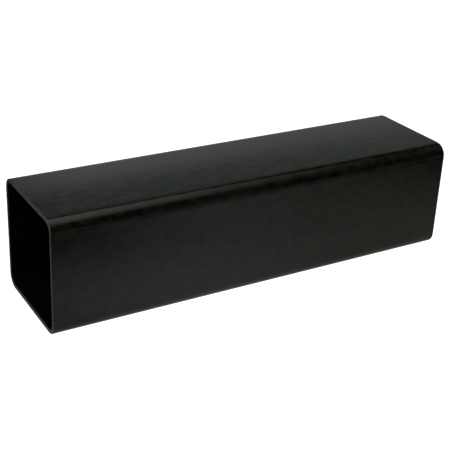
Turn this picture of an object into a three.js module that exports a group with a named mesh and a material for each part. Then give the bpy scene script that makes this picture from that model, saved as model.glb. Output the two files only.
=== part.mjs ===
// A short length of square plastic pipe: one thin-walled extrusion with rounded
// corners, open right through, with both ends cut square and lightly deburred.
//
// Millimetres, +Z up. The pipe lies on one of its flats, with its length along X.
// The origin is on the surface that it lies on, under the middle of its length.

import * as THREE from "three";

// Driving dimensions.
const OUTER_SIZE = 65; // across the flats, the same in width and in height
const LENGTH = 248; // from cut end to cut end
const WALL = 2.2; // wall thickness, even all the way round
const CORNER_RADIUS = 7.2; // outside radius of the four long corners
const EDGE_BREAK = 0.3; // deburring at the ends, on the outer and on the inner edge

const ARC_STEPS = 16; // straight steps in each quarter-round corner
const BEVEL_STEPS = 1; // the deburring is one flat chamfer
const QUARTER_TURN = Math.PI / 2;

const pipeMaterial = new THREE.MeshStandardMaterial({
  color: 0x1d1e1d,
  roughness: 0.38,
  metalness: 0,
});

// Draws a square with round corners, centred on the section's own origin and
// running anticlockwise, into a Shape or a Path.
function roundedSquare(outline, size, radius) {
  const arcCentre = size / 2 - radius;
  const quadrants = [
    [1, 1],
    [-1, 1],
    [-1, -1],
    [1, -1],
  ];
  quadrants.forEach(([sideX, sideY], quadrant) => {
    const start = quadrant * QUARTER_TURN;
    outline.absarc(
      sideX * arcCentre,
      sideY * arcCentre,
      radius,
      start,
      start + QUARTER_TURN,
      false,
    );
  });
  outline.closePath();
  return outline;
}

// The pipe's section: the outer rounded square with the bore as a hole. The inner
// corners share the outer corners' centres, so the wall keeps its thickness there.
function pipeSection() {
  const section = roundedSquare(new THREE.Shape(), OUTER_SIZE, CORNER_RADIUS);
  const boreSize = OUTER_SIZE - 2 * WALL;
  const boreRadius = CORNER_RADIUS - WALL;
  section.holes.push(roundedSquare(new THREE.Path(), boreSize, boreRadius));
  return section;
}

// The section drawn out to its length. The bevel starts inside the wall, so it
// takes the edge off both ends without making the pipe any wider or longer.
function pipeGeometry() {
  const geometry = new THREE.ExtrudeGeometry(pipeSection(), {
    depth: LENGTH - 2 * EDGE_BREAK,
    curveSegments: ARC_STEPS,
    bevelEnabled: true,
    bevelThickness: EDGE_BREAK,
    bevelSize: EDGE_BREAK,
    bevelOffset: -EDGE_BREAK,
    bevelSegments: BEVEL_STEPS,
  });
  geometry.center();
  return geometry;
}

function squarePipe() {
  const mesh = new THREE.Mesh(pipeGeometry(), pipeMaterial);
  mesh.name = "square_pipe";
  mesh.rotation.y = QUARTER_TURN; // the drawn-out direction, Z, turns to X
  mesh.position.z = OUTER_SIZE / 2; // the lower flat comes down to Z = 0
  return mesh;
}

const pipe = new THREE.Group();
pipe.add(squarePipe());

export default pipe;
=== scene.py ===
"""The looks of a short length of square plastic pipe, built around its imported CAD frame.

The pipe is one extrusion, so there is one piece: a fine mesh that stands for the CAD node, with the
faint sink and die lines of an extruded skin, sawn and deburred ends, and a black satin plastic made of
nodes. Everything else is the studio: floor, cards, soft lights and the camera. Metres, +Z up.
"""

import math
from collections import namedtuple

import bpy
import numpy as np
from mathutils import Matrix, Vector


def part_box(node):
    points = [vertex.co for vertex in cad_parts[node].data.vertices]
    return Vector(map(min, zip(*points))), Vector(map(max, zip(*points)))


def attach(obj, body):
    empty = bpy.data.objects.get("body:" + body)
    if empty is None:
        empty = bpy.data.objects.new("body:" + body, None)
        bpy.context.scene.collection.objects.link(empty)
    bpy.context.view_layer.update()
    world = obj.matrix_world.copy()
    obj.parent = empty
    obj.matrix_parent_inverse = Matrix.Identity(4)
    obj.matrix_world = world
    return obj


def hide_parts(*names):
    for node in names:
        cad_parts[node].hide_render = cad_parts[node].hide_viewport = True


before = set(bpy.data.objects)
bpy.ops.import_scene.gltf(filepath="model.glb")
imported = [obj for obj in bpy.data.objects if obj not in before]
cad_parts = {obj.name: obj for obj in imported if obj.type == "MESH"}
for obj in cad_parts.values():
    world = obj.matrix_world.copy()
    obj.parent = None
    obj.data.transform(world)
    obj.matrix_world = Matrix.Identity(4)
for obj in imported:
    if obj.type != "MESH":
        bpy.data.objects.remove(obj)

NODE = "square_pipe"
BODY = "root"
MM = 0.001
RIGHT_ANGLE = math.pi / 2

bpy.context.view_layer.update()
PIPE_LOW, PIPE_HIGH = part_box(NODE)
PIPE_CENTRE = (PIPE_LOW + PIPE_HIGH) / 2
LENGTH = PIPE_HIGH.x - PIPE_LOW.x
SIZE = PIPE_HIGH.z - PIPE_LOW.z
WALL = 2.2 * MM
CORNER_RADIUS = 7.2 * MM
EDGE_BREAK = 0.3 * MM

# ---------------------------------------------------------------- camera

# Degrees round the pipe's centre, and distances in the pipe's own widths.
AZIMUTH = -30.70
ELEVATION = 24.38
ROLL = 2.44
DISTANCE = 8.864 * SIZE
AIM_RIGHT = 0.1790 * SIZE
AIM_UP = -0.1061 * SIZE
LENS_MM = 80.37
SHIFT_RIGHT = 0.0222
SHIFT_UP = -0.0556


def make_camera():
    azimuth, elevation, roll = map(math.radians, (AZIMUTH, ELEVATION, ROLL))
    back = Vector((
        math.sin(azimuth) * math.cos(elevation),
        -math.cos(azimuth) * math.cos(elevation),
        math.sin(elevation),
    ))
    level_right = (-back).cross(Vector((0, 0, 1))).normalized()
    level_up = level_right.cross(-back)
    right = level_right * math.cos(roll) + level_up * math.sin(roll)
    up = level_up * math.cos(roll) - level_right * math.sin(roll)
    data = bpy.data.cameras.new("camera")
    data.lens = LENS_MM
    data.shift_x = SHIFT_RIGHT
    data.shift_y = SHIFT_UP
    camera = bpy.data.objects.new("camera", data)
    camera.matrix_world = Matrix((right, up, back)).transposed().to_4x4()
    camera.location = PIPE_CENTRE + back * DISTANCE - right * AIM_RIGHT - up * AIM_UP
    bpy.context.scene.collection.objects.link(camera)
    bpy.context.scene.camera = camera


make_camera()

# ---------------------------------------------------------------- the pipe's mesh

FLAT_STEPS = 100
CORNER_STEPS = 44
FINE_STEPS = 40
ALONG_STEPS = 56
RIM_STEPS = 8
EDGE_STEPS = 5

# The bend of a corner comes in and goes out over this length. For the corner's tip to be where a plain
# arc's would be, the bend between is a little tighter than the arc.
CORNER_BLEND = 4 * MM
TIP_SHARE = math.sqrt(2) / 6 / (math.sqrt(2) - 1)
BEND_RADIUS = (CORNER_RADIUS + math.sqrt(CORNER_RADIUS**2 - TIP_SHARE * CORNER_BLEND**2)) / 2
EDGE_BLEND = 0.1 * MM
EDGE_RADIUS = EDGE_BREAK - EDGE_BLEND / 2

# How far the sides sink between the corners.
SINK = 0.05 * MM

# Random waves: how deep they are, how many are added up, and the shortest that may be among them.
Waves = namedtuple("Waves", "depth count shortest seed")
DIE_LINES = Waves(depth=0.0022 * MM, count=24, shortest=3 * MM, seed=8)
BORE_LINES = Waves(depth=0.006 * MM, count=24, shortest=3 * MM, seed=9)
RIPPLE = Waves(depth=0.006 * MM, count=7, shortest=40 * MM, seed=10)
NIBBLE = Waves(depth=0.05 * MM, count=60, shortest=1.2 * MM, seed=11)

# The saw: its blade's centre in the end plane, from the pipe's axis, and the marks of its teeth.
BLADE_CENTRE = (-90 * MM, -60 * MM)
TOOTH_PITCH = 2.3 * MM
TOOTH_DEPTH = 0.035 * MM
TOOTH_WANDER = Waves(depth=0.8, count=9, shortest=9 * MM, seed=7)
WANDER_PERIOD = 120 * MM

SKIN, CUT, BORE = range(3)


def even_share(step, steps):
    return 2 * step / steps - 1


def close_at_ends(step, steps):
    return math.sin(even_share(step, steps) * RIGHT_ANGLE)


def running_total(values, along):
    """The integral of values from the first place up to each place."""
    parts = (values[1:] + values[:-1]) / 2 * np.diff(along)
    return np.concatenate([[0], np.cumsum(parts)])


def corner_curve(radius, blend, steps):
    """A quarter turn whose bend grows and fades over the length `blend`, and is 1/radius between.

    Returns each point's distance along the first side and in from it, and how far it has turned."""
    along = np.linspace(0, radius * RIGHT_ANGLE + blend, steps * FINE_STEPS + 1)
    to_end = np.minimum(along, along[::-1])
    bend = np.clip(to_end / blend, 0, 1)
    turn = running_total(bend, along)
    turn = turn * RIGHT_ANGLE / turn[-1]
    forward = running_total(np.cos(turn), along)
    inward = running_total(np.sin(turn), along)
    return forward[::FINE_STEPS], inward[::FINE_STEPS], turn[::FINE_STEPS]


def rounded_rectangle(width, height, corner, run_steps, first_side=0, spacing=even_share):
    """A rounded rectangle about the origin, anticlockwise: each side's straight run, then its corner.

    Returns the points, their outward directions, the side that each point's step belongs to (-1 in a
    corner), and how far each is along its run, from -1 to 1 (1 in a corner)."""
    forward, inward, turns = corner
    points, outwards, sides, shares = [], [], [], []
    for side in range(4):
        angle = (first_side + side) * RIGHT_ANGLE
        out = np.round([math.cos(angle), math.sin(angle)])
        along = np.round([-math.sin(angle), math.cos(angle)])
        reach = np.abs(out) @ (width / 2, height / 2)
        run = np.abs(along) @ (width / 2, height / 2) - forward[-1]
        steps = run_steps[side]
        for step in range(steps):
            share = spacing(step, steps)
            points.append(out * reach + along * share * run)
            outwards.append(out)
            sides.append(side)
            shares.append(share)
        for step in range(len(turns) - 1):
            points.append(out * (reach - inward[step]) + along * (run + forward[step]))
            outwards.append(out * math.cos(turns[step]) + along * math.sin(turns[step]))
            sides.append(-1)
            shares.append(1.0)
    return tuple(np.array(values) for values in (points, outwards, sides, shares))


def wavy(position, period, waves):
    """A smooth random curve that repeats every `period`: a sum of whole waves."""
    rng = np.random.default_rng(waves.seed)
    most = int(period / waves.shortest)
    counts = rng.integers(1, most + 1, waves.count)
    phases = rng.uniform(0, 2 * math.pi, waves.count)
    angles = 2 * math.pi * position[..., None] / period * counts + phases
    return waves.depth * np.cos(angles).sum(-1) / math.sqrt(waves.count / 2)


def saw_marks(y, z):
    """How deep the saw's teeth cut below the end plane: shallow arcs, a little uneven."""
    radius = np.hypot(y - BLADE_CENTRE[0], z - BLADE_CENTRE[1])
    wander = wavy(radius, WANDER_PERIOD, TOOTH_WANDER)
    return TOOTH_DEPTH * (1 + np.cos(2 * math.pi * radius / TOOTH_PITCH + wander)) / 2


def ring_quads(rows, columns):
    """The faces of a closed ring of points, each row of them closed too."""
    row, column = np.meshgrid(np.arange(rows), np.arange(columns), indexing="ij")
    next_row = (row + 1) % rows
    next_column = (column + 1) % columns
    corners = ((row, column), (row, next_column), (next_row, next_column), (next_row, column))
    return np.stack([r * columns + c for r, c in corners], axis=-1).reshape(-1, 4)


def pipe_mesh():
    """The wall's outline, drawn along the pipe, carried round the pipe's section."""
    corner = corner_curve(BEND_RADIUS, CORNER_BLEND, CORNER_STEPS)
    section, outward, side, share = rounded_rectangle(SIZE, SIZE, corner, [FLAT_STEPS] * 4)
    runs = [ALONG_STEPS, RIM_STEPS, ALONG_STEPS, RIM_STEPS]
    edge = corner_curve(EDGE_RADIUS, EDGE_BLEND, EDGE_STEPS)
    wall, wall_outward, wall_side, _ = rounded_rectangle(
        LENGTH, WALL, edge, runs, first_side=-1, spacing=close_at_ends
    )
    x = wall[:, 0][:, None]
    depth = (wall[:, 1] + WALL / 2)[:, None]
    inner = depth / WALL
    on_edge = (wall_side < 0)[:, None]
    steps = np.linalg.norm(np.roll(section, -1, 0) - section, axis=1)
    perimeter = steps.sum()
    around = np.cumsum(steps) - steps

    middle = np.where(side >= 0, 1 - share**2, 0.0) ** 2
    raised = (wavy(x + LENGTH, 2 * LENGTH, RIPPLE) - SINK) * middle
    raised = raised + wavy(around, perimeter, DIE_LINES) * (1 - inner)
    raised = raised - wavy(around, perimeter, BORE_LINES) * inner - depth
    y = section[:, 0] + outward[:, 0] * raised
    z = section[:, 1] + outward[:, 1] * raised
    cut_in = saw_marks(y, z) + on_edge * np.abs(wavy(around, perimeter, NIBBLE))
    x = x - wall_outward[:, 0][:, None] * cut_in
    vertices = np.stack([x, y, z], axis=-1) + PIPE_CENTRE

    # The wall's sides are the outside, the right end, the bore and the left end, and -1 is an edge.
    # The outer edge break keeps the skin's dark finish except along the top, where it takes the paler
    # cut finish as a painted highlight of the overhead light.
    kinds = np.array([SKIN, CUT, BORE, CUT, CUT])[wall_side][:, None]
    # Painted highlight: only the top's outer edge keeps the pale cut finish.
    outer_edge_off_top = on_edge & (inner < 0.5) & (outward[:, 1] < 0.5)
    kinds = np.where(outer_edge_off_top, SKIN, kinds).reshape(-1)

    quads = ring_quads(*x.shape)
    mesh = bpy.data.meshes.new("square_pipe_skin")
    mesh.from_pydata(vertices.reshape(-1, 3).tolist(), [], quads.tolist())
    mesh.polygons.foreach_set("material_index", kinds.astype(np.int32))
    mesh.polygons.foreach_set("use_smooth", np.ones(len(quads), bool))
    mesh.update()
    return mesh


# ---------------------------------------------------------------- node trees

# The mix node has sockets of one name for each type of data, so its colours go by number.
MIX_LOW = 6
MIX_HIGH = 7
MIX_RESULT = 2


class Nodes:
    """A short way to write a node tree: new nodes by type, with inputs and settings by name."""

    def __init__(self, tree):
        self.tree = tree

    def add(self, kind, inputs=None, **settings):
        node = self.tree.nodes.new(kind)
        for name, value in settings.items():
            setattr(node, name, value)
        for name, value in (inputs or {}).items():
            if isinstance(value, bpy.types.NodeSocket):
                self.tree.links.new(value, node.inputs[name])
            else:
                node.inputs[name].default_value = value
        return node

    def place(self):
        """Where a point is on the object, in metres."""
        return self.add("ShaderNodeTexCoord").outputs["Object"]

    def axes(self, vector):
        return self.add("ShaderNodeSeparateXYZ", {"Vector": vector}).outputs

    def math(self, operation, *values):
        inputs = dict(enumerate(values))
        return self.add("ShaderNodeMath", inputs, operation=operation).outputs[0]

    def product(self, *values):
        result = values[0]
        for value in values[1:]:
            result = self.math("MULTIPLY", result, value)
        return result

    def total(self, *values):
        result = values[0]
        for value in values[1:]:
            result = self.math("ADD", result, value)
        return result

    def weighted(self, least, fields, weights):
        """`least`, and on top of it each named field times its weight."""
        parts = [self.product(fields[name], weight) for name, weight in weights.items()]
        return self.total(least, *parts)

    def fade(self, value, nothing, full, low=0.0, high=1.0):
        """A soft step: `low` where value is at or beyond `nothing`, `high` at or beyond `full`."""
        settings = {"interpolation_type": "SMOOTHSTEP", "clamp": True}
        inputs = {"Value": value, "From Min": nothing, "From Max": full, "To Min": low, "To Max": high}
        return self.add("ShaderNodeMapRange", inputs, **settings).outputs["Result"]

    def noise(self, vector, grain):
        """Smooth noise from 0 to 1 whose features are `grain.size` metres along x, y and z."""
        scale = tuple(1 / length for length in grain.size)
        stretched = self.add("ShaderNodeMapping", {"Vector": vector, "Scale": scale}).outputs[0]
        inputs = {"Vector": stretched, "Scale": 1.0, "Detail": grain.detail}
        return self.add("ShaderNodeTexNoise", inputs).outputs["Fac"]

    def mix(self, share, low, high):
        """One colour turning into another as share goes from 0 to 1."""
        node = self.add("ShaderNodeMix", {"Factor": share}, data_type="RGBA")
        for index, colour in ((MIX_LOW, low), (MIX_HIGH, high)):
            if isinstance(colour, bpy.types.NodeSocket):
                self.tree.links.new(colour, node.inputs[index])
            else:
                node.inputs[index].default_value = (*colour, 1)
        return node.outputs[MIX_RESULT]

    def bump(self, height, depth, normal=None):
        inputs = {"Height": height, "Distance": depth, "Strength": 1.0}
        if normal is not None:
            inputs["Normal"] = normal
        return self.add("ShaderNodeBump", inputs).outputs[0]


def new_material(name):
    material = bpy.data.materials.new(name)
    material.use_nodes = True
    material.node_tree.nodes.clear()
    return material, Nodes(material.node_tree)


# ---------------------------------------------------------------- materials

# Noise: the size of its features along x, y and z, and how many finer layers it has.
Grain = namedtuple("Grain", "size detail")

# Every ..._RANGE and ..._FADE below is what Nodes.fade takes after its value, in the same order.

PLASTIC_IOR = 1.5
PLASTIC_SPECULAR = 0.5

# The skin: a black that a thin haze makes paler in places, streaks and bands that the die drew
# lengthwise, a fine orange peel, and the scuffs, dips, scratches and dust of handling.
BLACK = (0.0046, 0.0054, 0.0043)
BLACK_PALE = (0.0132, 0.0146, 0.0124)
DUST_COLOUR = (0.040, 0.040, 0.037)
STREAKS = Grain((180 * MM, 0.9 * MM, 0.9 * MM), 3.0)
BANDS = Grain((400 * MM, 6 * MM, 6 * MM), 2.0)
PEEL = Grain((1.7 * MM, 1.3 * MM, 1.3 * MM), 2.0)
HAZE = Grain((6 * MM, 4.5 * MM, 4.5 * MM), 5.0)
SCUFFS = Grain((3.2 * MM, 1.8 * MM, 1.8 * MM), 3.0)
SCRATCHES = Grain((30 * MM, 0.35 * MM, 0.35 * MM), 1.0)
HAZE_RANGE = (0.34, 0.66)
SCUFF_RANGE = (0.62, 0.74)
DIP_RANGE = (0.38, 0.27)
SCRATCH_RANGE = (0.72, 0.80)
SPECK_SPACING = 7 * MM
SPECK_RADIUS = 0.42 * MM
SPECK_CORE = SPECK_RADIUS / 2
SPECK_SHARE = 0.28
SCUFF_DUST = 0.35
SPECK_DUST = 0.8
SKIN_ROUGHNESS = 0.06
SKIN_ROUGHENING = {
    "streaks": 0.04,
    "bands": 0.04,
    "haze": 0.06,
    "scuffs": 0.12,
    "scratches": 0.10,
    "specks": 0.25,
}
PEEL_DEPTH = 0.0085 * MM
STREAK_DEPTH = 0.0007 * MM
DIP_DEPTH = 0.0040 * MM
SCRATCH_DEPTH = 0.0010 * MM

# The cut ends: paler and duller, with the blade's arcs, and painted shade that darkens the back wall's
# end.
# ARCS is noise along one line only, the distance from the blade's centre.
CUT_DARK = (0.016, 0.016, 0.0155)
CUT_PALE = (0.108, 0.108, 0.105)
ARCS = Grain((0.7 * MM, 1, 1), 3.0)
CUT_GRAIN = Grain((0.6 * MM, 0.6 * MM, 0.6 * MM), 3.0)
PATCHES = Grain((8 * MM, 8 * MM, 8 * MM), 2.0)
CUT_PALENESS = 0.20
CUT_PALING = {"arcs": 0.6, "patches": 0.6}
CUT_ROUGHNESS = 0.42
CUT_ROUGHENING = {"arcs": 0.14, "grain": 0.10}
ARC_DEPTH = 0.020 * MM
CUT_GRAIN_DEPTH = 0.012 * MM
# Painted shade: the end of the back wall is darkened, its paleness cut to the least share below, over
# these distances across the pipe.
BACK_RIM_SHADE_FROM = SIZE / 2 - 2 * MM
BACK_RIM_SHADE_TO = SIZE / 2 - 15 * MM
BACK_RIM_SHADE_LEAST = 0.28

# The bore: duller and more even than the skin, with stronger die lines, and its blacks painted darker
# than the skin's as shade inside the pipe.
BORE_SHADED_BLACK = (0.0008, 0.0009, 0.0008)
BORE_SHADED_PALE = (0.0020, 0.0022, 0.0019)
BORE_STREAKS = Grain((250 * MM, 1.4 * MM, 1.4 * MM), 3.0)
BORE_HAZE = Grain((25 * MM, 7 * MM, 7 * MM), 3.0)
BORE_ROUGHNESS = 0.24
BORE_ROUGHENING = {"streaks": 0.08, "haze": 0.08}
BORE_STREAK_DEPTH = 0.006 * MM
BORE_SPECULAR = 0.15


def finish_plastic(nodes, colour, roughness, normal, specular=PLASTIC_SPECULAR):
    inputs = {"Base Color": colour, "Roughness": roughness, "Normal": normal}
    shader = nodes.add("ShaderNodeBsdfPrincipled", inputs)
    shader.inputs["IOR"].default_value = PLASTIC_IOR
    shader.inputs["Specular IOR Level"].default_value = specular
    nodes.add("ShaderNodeOutputMaterial", {"Surface": shader.outputs[0]})


def dust_specks(nodes, place):
    """1 on a few small round specks, 0 elsewhere."""
    inputs = {"Vector": place, "Scale": 1 / SPECK_SPACING}
    cells = nodes.add("ShaderNodeTexVoronoi", inputs)
    distance = nodes.product(cells.outputs["Distance"], SPECK_SPACING)
    near = nodes.fade(distance, SPECK_RADIUS, SPECK_CORE)
    luck = nodes.axes(cells.outputs["Color"])[0]
    return nodes.product(near, nodes.math("LESS_THAN", luck, SPECK_SHARE))


def skin_material():
    """The extruded outside: black and satin, with haze, streaks, scuffs and a few specks."""
    material, nodes = new_material("black_plastic_skin")
    place = nodes.place()
    scuff_field = nodes.noise(place, SCUFFS)
    fields = {
        "streaks": nodes.noise(place, STREAKS),
        "bands": nodes.noise(place, BANDS),
        "haze": nodes.fade(nodes.noise(place, HAZE), *HAZE_RANGE),
        "scuffs": nodes.fade(scuff_field, *SCUFF_RANGE),
        "scratches": nodes.fade(nodes.noise(place, SCRATCHES), *SCRATCH_RANGE),
        "specks": dust_specks(nodes, place),
    }
    colour = nodes.mix(fields["haze"], BLACK, BLACK_PALE)
    colour = nodes.mix(nodes.product(fields["scuffs"], SCUFF_DUST), colour, DUST_COLOUR)
    colour = nodes.mix(nodes.product(fields["specks"], SPECK_DUST), colour, DUST_COLOUR)
    roughness = nodes.weighted(SKIN_ROUGHNESS, fields, SKIN_ROUGHENING)
    normal = nodes.bump(nodes.noise(place, PEEL), PEEL_DEPTH)
    normal = nodes.bump(fields["streaks"], STREAK_DEPTH, normal)
    normal = nodes.bump(nodes.fade(scuff_field, *DIP_RANGE), -DIP_DEPTH, normal)
    normal = nodes.bump(fields["scratches"], -SCRATCH_DEPTH, normal)
    finish_plastic(nodes, colour, roughness, normal)
    return material


def cut_material():
    """The sawn end and the edge breaks that take it: dull and paler, with the arcs that the blade left,
    and painted shade on the back wall's end.
    """
    material, nodes = new_material("black_plastic_cut")
    place = nodes.place()
    blade = Vector((PIPE_LOW.x, BLADE_CENTRE[0], PIPE_CENTRE.z + BLADE_CENTRE[1]))
    inputs = {0: place, 1: blade}
    from_blade = nodes.add("ShaderNodeVectorMath", inputs, operation="DISTANCE").outputs["Value"]
    arc_place = nodes.add("ShaderNodeCombineXYZ", {"X": from_blade}).outputs[0]
    fields = {
        "arcs": nodes.noise(arc_place, ARCS),
        "grain": nodes.noise(place, CUT_GRAIN),
        "patches": nodes.noise(place, PATCHES),
    }
    # Painted shade: the back wall's end is drawn darker than the rest of the cut.
    painted_shade_factor = nodes.fade(nodes.axes(place)["Y"], BACK_RIM_SHADE_FROM, BACK_RIM_SHADE_TO, BACK_RIM_SHADE_LEAST)
    pale = nodes.weighted(CUT_PALENESS, fields, CUT_PALING)
    colour = nodes.mix(nodes.product(painted_shade_factor, pale), CUT_DARK, CUT_PALE)
    roughness = nodes.weighted(CUT_ROUGHNESS, fields, CUT_ROUGHENING)
    normal = nodes.bump(fields["arcs"], ARC_DEPTH)
    normal = nodes.bump(fields["grain"], CUT_GRAIN_DEPTH, normal)
    finish_plastic(nodes, colour, roughness, normal)
    return material


def bore_material():
    """The inside of the pipe, painted darker than the skin as shade."""
    material, nodes = new_material("black_plastic_bore")
    place = nodes.place()
    fields = {"streaks": nodes.noise(place, BORE_STREAKS), "haze": nodes.noise(place, BORE_HAZE)}
    # Painted shade: the bore's colours are darker than the skin's.
    colour = nodes.mix(fields["haze"], BORE_SHADED_BLACK, BORE_SHADED_PALE)
    roughness = nodes.weighted(BORE_ROUGHNESS, fields, BORE_ROUGHENING)
    normal = nodes.bump(fields["streaks"], BORE_STREAK_DEPTH)
    finish_plastic(nodes, colour, roughness, normal, BORE_SPECULAR)
    return material


def make_pipe():
    mesh = pipe_mesh()
    mesh.materials.append(skin_material())
    mesh.materials.append(cut_material())
    mesh.materials.append(bore_material())
    pipe = bpy.data.objects.new("square_pipe_skin", mesh)
    bpy.context.scene.collection.objects.link(pipe)
    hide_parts(NODE)
    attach(pipe, BODY)


make_pipe()

# ---------------------------------------------------------------- studio

# A soft edge reaches this many times its softness to each side.
EDGE_REACH = 3

NEUTRAL = (1.0, 1.0, 1.0)
FAINT_GREEN = (0.95, 1.0, 0.91)
PALE_WARM = (0.93, 1.0, 0.80)
WARM = (1.03, 1.0, 0.57)
COOL = (0.87, 1.0, 1.20)
PALE_COOL = (0.88, 1.0, 1.05)
PALE_GREEN = (0.93, 1.0, 0.91)
PALE_TEAL = (0.93, 1.0, 0.95)

# A pool of light is an ellipse. Its softness is a share of its reach from centre to edge.
Pool = namedtuple("Pool", "centre reach softness strength colour")
LEFT_POOL = Pool((-0.13, -0.065), (0.14, 0.043), 0.23, 0.26, PALE_COOL)
BACK_POOL = Pool((0.08, 0.36), (0.27, 0.506), 0.06, 0.265, PALE_GREEN)
MIDDLE_POOL = Pool((0.01, -0.135), (0.05, 0.028), 0.50, 0.165, PALE_TEAL)
FRONT_POOL = Pool((0.10, -0.25), (0.09, 0.09), 0.35, 0.07, PALE_TEAL)
FLOOR_POOLS = (LEFT_POOL, BACK_POOL, MIDDLE_POOL, FRONT_POOL)
FLOOR_FAINT = 0.035
FAR_FLOOR_START = -0.13
FAR_FLOOR_END = -0.24
FAR_FLOOR_LIGHT = 0.05
FLOOR_LIGHT_HALF = 1.0

# The card behind the pipe: a bright lower band that dims to the right, and a dimmer band above it.
BACK_CARD_Y = 0.095
BACK_CARD_ENDS = (-0.25, 1.2)
BACK_LEFT = -0.113
BACK_LEFT_SOFT = 0.024
BACK_LOW_LIGHT = 0.214
BACK_LOW_COLOUR = (1.06, 1.0, 1.13)
BACK_LOW_TOP = 0.1084
BACK_LOW_SLOPE = 0.006
BACK_LOW_SOFT = 0.0022
BACK_LOW_FADE = (-0.10, 0.25, 1.20, 0.62)
BACK_HIGH_LIGHT = 0.160
BACK_HIGH_COLOUR = (0.875, 1.0, 0.91)
BACK_HIGH_TOP = 0.216
BACK_HIGH_SOFT = 0.010
BACK_RIGHT_FADE = (0.0, 0.3, 0.0, 0.020)

# The big soft light overhead. To the right of the bend it slants towards the front.
TOP_HEIGHT = 0.8
TOP_ENDS = (-1.2, 1.2)
TOP_LIGHT = 0.98
TOP_FAINT = 0.056
TOP_RIGHT = 0.298
TOP_RIGHT_SOFT = 0.133
TOP_FRONT = -0.45
TOP_FRONT_SOFT = 0.13
TOP_BACK = 0.36
TOP_BACK_SOFT = 0.029
TOP_BEND = 0.33
TOP_SLANT = 0.7

# Upright cards to the left, right and front.
SIDE_LIGHT = 0.66
SIDE_TOP = 0.55
SIDE_SOFT = 0.04
SIDE_DISTANCE = 0.6
RIGHT_CARD_ENDS = (-0.22, 0.15)
FRONT_CARD_END = 0.50
FRONT_FADE = (0.12, -0.30)
FRONT_GLOW = Pool((0.27, 0.02), (0.08, 0.14), 0.30, 0.075, FAINT_GREEN)

# A far card at the front right, which lights the top for whoever looks from behind.
FAR_CARD_ENDS = ((1.8, -1.6), (2.6, -0.6))
FAR_CARD_FADE = (1.86, 2.20, 0.0, 0.30)
FAR_CARD_TOP = 1.0
FAR_CARD_SOFT = 0.08

FLOOR_HALF = 3.0
FLOOR_SHINE_NEAR = 0.95
FLOOR_SHINE_FAR = 1.0
FLOOR_PAINT = (0.85, 0.85, 0.85, 1)


def soft_edge(nodes, value, edge, softness):
    """A soft step at `edge`: 1 well below it and 0 well above it; a negative softness turns it round."""
    return nodes.fade(value, edge + EDGE_REACH * softness, edge - EDGE_REACH * softness)


def pool_light(nodes, place, pool):
    x, y, _ = place
    across = nodes.math("DIVIDE", nodes.math("SUBTRACT", x, pool.centre[0]), pool.reach[0])
    along = nodes.math("DIVIDE", nodes.math("SUBTRACT", y, pool.centre[1]), pool.reach[1])
    squares = nodes.total(nodes.product(across, across), nodes.product(along, along))
    away = nodes.math("SQRT", squares)
    return nodes.product(soft_edge(nodes, away, 1, pool.softness), pool.strength), pool.colour


def floor_layers(nodes, place):
    _, y, _ = place
    return [
        *(pool_light(nodes, place, pool) for pool in FLOOR_POOLS),
        (FLOOR_FAINT, WARM),
        (nodes.fade(y, FAR_FLOOR_START, FAR_FLOOR_END, 0, FAR_FLOOR_LIGHT), COOL),
    ]


def back_layers(nodes, place):
    x, _, z = place
    left = soft_edge(nodes, x, BACK_LEFT, -BACK_LEFT_SOFT)
    high = nodes.product(left, soft_edge(nodes, z, BACK_HIGH_TOP, BACK_HIGH_SOFT))
    level = nodes.math("SUBTRACT", z, nodes.product(x, BACK_LOW_SLOPE))
    low = soft_edge(nodes, level, BACK_LOW_TOP, BACK_LOW_SOFT)
    low = nodes.product(left, low, nodes.fade(x, *BACK_LOW_FADE))
    return [
        (nodes.product(low, BACK_LOW_LIGHT), BACK_LOW_COLOUR),
        (nodes.product(high, BACK_HIGH_LIGHT), BACK_HIGH_COLOUR),
        (nodes.product(high, nodes.fade(x, *BACK_RIGHT_FADE)), WARM),
    ]


def top_layers(nodes, place):
    x, y, _ = place
    right = soft_edge(nodes, x, TOP_RIGHT, TOP_RIGHT_SOFT)
    past_bend = nodes.math("MAXIMUM", nodes.math("SUBTRACT", x, TOP_BEND), 0.0)
    along = nodes.total(y, nodes.product(past_bend, TOP_SLANT))
    front = soft_edge(nodes, along, TOP_FRONT, -TOP_FRONT_SOFT)
    back = soft_edge(nodes, along, TOP_BACK, TOP_BACK_SOFT)
    faint = nodes.product(front, back, TOP_FAINT)
    return [(nodes.product(right, front, back, TOP_LIGHT), FAINT_GREEN), (faint, WARM)]


def side_light(nodes, place):
    _, _, z = place
    return nodes.product(soft_edge(nodes, z, SIDE_TOP, SIDE_SOFT), SIDE_LIGHT)


def left_layers(nodes, place):
    return [(side_light(nodes, place), NEUTRAL)]


def right_layers(nodes, place):
    return [(side_light(nodes, place), PALE_WARM)]


def front_layers(nodes, place):
    """As the right card, fading out to the right into a faint glow just above the floor."""
    x, y, z = place
    fade = nodes.fade(x, *FRONT_FADE)
    glow = pool_light(nodes, (x, z, y), FRONT_GLOW)
    return [(nodes.product(side_light(nodes, place), fade), PALE_WARM), glow]


def far_layers(nodes, place):
    x, _, z = place
    high = soft_edge(nodes, z, FAR_CARD_TOP, FAR_CARD_SOFT)
    return [(nodes.product(high, nodes.fade(x, *FAR_CARD_FADE)), PALE_WARM)]


def glow_material(name, layers_of):
    """A light made of layers, each with a strength that nodes work out from the place on the card."""
    material, nodes = new_material(name)
    shaders = [
        nodes.add("ShaderNodeEmission", {"Strength": strength, "Color": (*colour, 1)}).outputs[0]
        for strength, colour in layers_of(nodes, nodes.axes(nodes.place()))
    ]
    whole = shaders[0]
    for shader in shaders[1:]:
        whole = nodes.add("ShaderNodeAddShader", {0: whole, 1: shader}).outputs[0]
    nodes.add("ShaderNodeOutputMaterial", {"Surface": whole})
    return material


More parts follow.
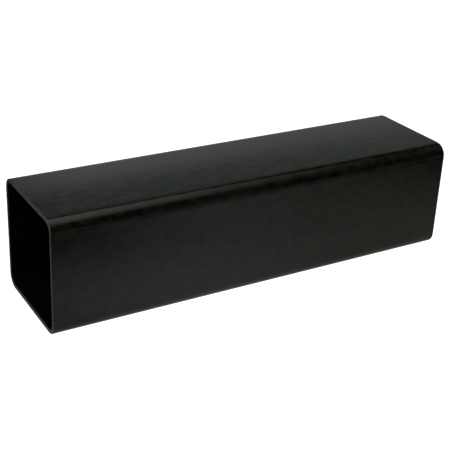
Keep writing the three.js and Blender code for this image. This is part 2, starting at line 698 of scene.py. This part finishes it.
def floor_material():
    """A floor that glows almost white by itself, so the pipe leaves hardly any shade on it."""
    material, nodes = new_material("floor_white")
    x, y, _ = nodes.axes(nodes.place())
    away = nodes.math("SQRT", nodes.total(nodes.product(x, x), nodes.product(y, y)))
    strength = nodes.fade(away, LENGTH, 4 * LENGTH, FLOOR_SHINE_NEAR, FLOOR_SHINE_FAR)
    shine = nodes.add("ShaderNodeEmission", {"Strength": strength})
    paint = nodes.add("ShaderNodeBsdfDiffuse", {"Color": FLOOR_PAINT})
    both = nodes.add("ShaderNodeAddShader", {0: shine.outputs[0], 1: paint.outputs[0]})
    nodes.add("ShaderNodeOutputMaterial", {"Surface": both.outputs[0]})
    return material


def white_world():
    """White all round, for the camera only: the cards do all the lighting."""
    world = bpy.data.worlds.new("studio")
    world.use_nodes = True
    background = world.node_tree.nodes["Background"]
    background.inputs["Color"].default_value = (1, 1, 1, 1)
    background.inputs["Strength"].default_value = 1.0
    world.cycles_visibility.diffuse = False
    world.cycles_visibility.glossy = False
    bpy.context.scene.world = world


def card(name, corners, material, seen=False):
    """A flat sheet of the studio: either the camera sees it, or it only lights and reflects."""
    mesh = bpy.data.meshes.new(name)
    mesh.from_pydata(corners, [], [(0, 1, 2, 3)])
    mesh.materials.append(material)
    obj = bpy.data.objects.new(name, mesh)
    bpy.context.scene.collection.objects.link(obj)
    obj.visible_camera = seen
    obj.visible_diffuse = not seen
    obj.visible_glossy = not seen
    obj.visible_shadow = False


def level_card(name, x_range, y_range, height, material, seen=False):
    left, right = x_range
    front, back = y_range
    corners = [(left, front), (right, front), (right, back), (left, back)]
    card(name, [(*corner, height) for corner in corners], material, seen)


def upright_card(name, start, end, top, layers_of):
    """A sheet that stands on the floor along the line from start to end."""
    corners = [(*start, 0), (*end, 0), (*end, top), (*start, top)]
    card(name, corners, glow_material(name, layers_of))


def make_studio():
    bpy.context.scene.view_settings.view_transform = "Standard"
    white_world()
    everywhere = (-FLOOR_HALF, FLOOR_HALF)
    level_card("floor", everywhere, everywhere, 0, floor_material(), seen=True)
    lit = (-FLOOR_LIGHT_HALF, FLOOR_LIGHT_HALF)
    level_card("floor_light", lit, lit, 0, glow_material("floor_light", floor_layers))
    lean = (TOP_ENDS[1] - TOP_BEND) * TOP_SLANT
    top_y = (TOP_FRONT - EDGE_REACH * TOP_FRONT_SOFT - lean, TOP_BACK + EDGE_REACH * TOP_BACK_SOFT)
    level_card("top_light", TOP_ENDS, top_y, TOP_HEIGHT, glow_material("top_light", top_layers))
    back_left, back_right = ((x, BACK_CARD_Y) for x in BACK_CARD_ENDS)
    back_top = BACK_HIGH_TOP + EDGE_REACH * BACK_HIGH_SOFT
    upright_card("back_card", back_left, back_right, back_top, back_layers)
    side = SIDE_DISTANCE
    side_top = SIDE_TOP + EDGE_REACH * SIDE_SOFT
    right_front, right_back = ((side, y) for y in RIGHT_CARD_ENDS)
    upright_card("right_card", right_front, right_back, side_top, right_layers)
    upright_card("left_card", (-side, -side), (-side, side), side_top, left_layers)
    upright_card("front_card", (-side, -side), (FRONT_CARD_END, -side), side_top, front_layers)
    far_top = FAR_CARD_TOP + EDGE_REACH * FAR_CARD_SOFT
    upright_card("far_card", *FAR_CARD_ENDS, far_top, far_layers)


make_studio()
